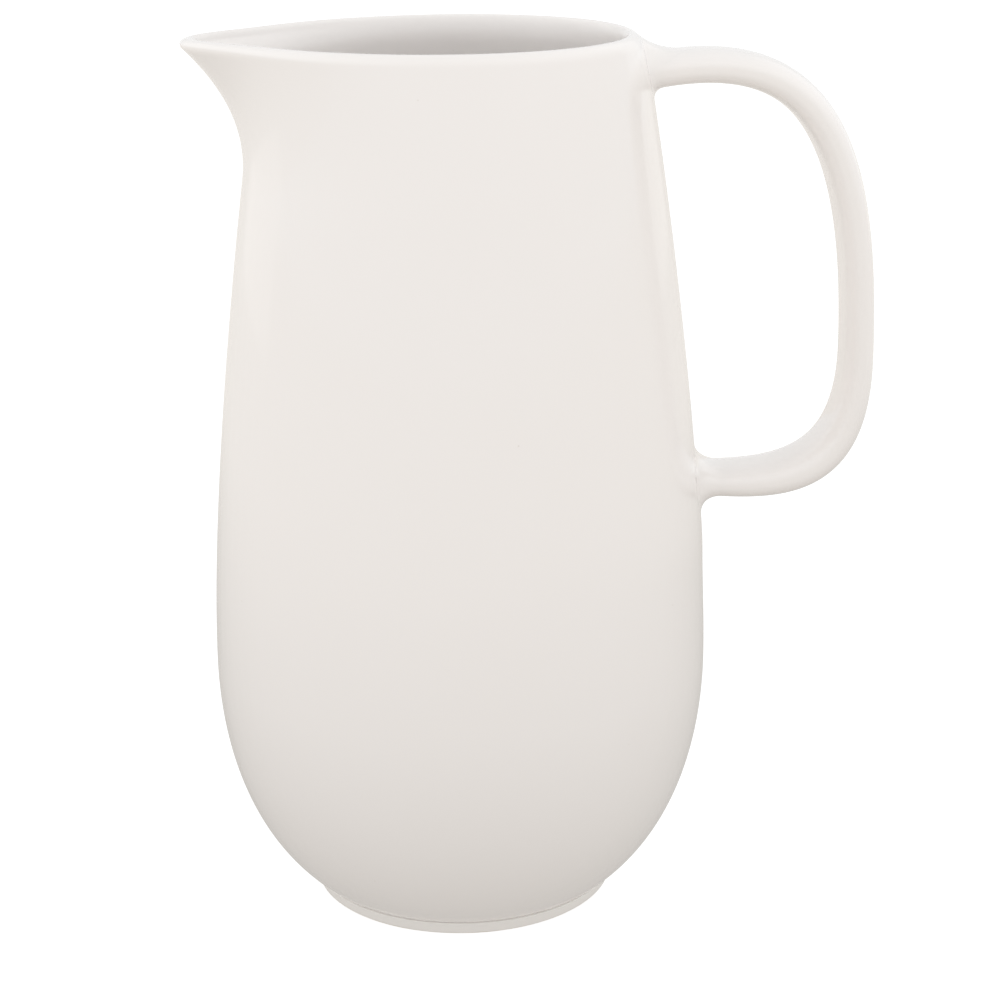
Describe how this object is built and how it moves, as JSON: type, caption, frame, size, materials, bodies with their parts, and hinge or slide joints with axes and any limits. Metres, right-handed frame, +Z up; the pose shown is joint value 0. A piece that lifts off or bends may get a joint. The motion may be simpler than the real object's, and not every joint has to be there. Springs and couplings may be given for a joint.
{
  "type": "water pitcher",
  "caption": "Tall rounded porcelain pitcher with a narrowing neck, a level rim drawn out into a pouring lip, a low foot ring and a tall strap handle.",
  "frame": {"origin": "on the table, under the middle of the outer box; the body's own axis is 20.9 mm towards the pouring lip", "axes": "+Z up, the pouring lip points to -X and the handle to +X; the part is the same on both sides of the XZ plane"},
  "size_m": [0.1772, 0.1312, 0.23],
  "materials": {
    "glazed_porcelain": "clear gloss glaze over warm white porcelain",
    "unglazed_foot": "dry, fine-ground porcelain under a thin satin glaze line"
  },
  "bodies": {
    "root": {"body_shell": "glazed_porcelain", "foot_ring": "unglazed_foot", "handle": "glazed_porcelain", "upper_handle_joint": "glazed_porcelain", "lower_handle_joint": "glazed_porcelain"}
  },
  "joints": []
}
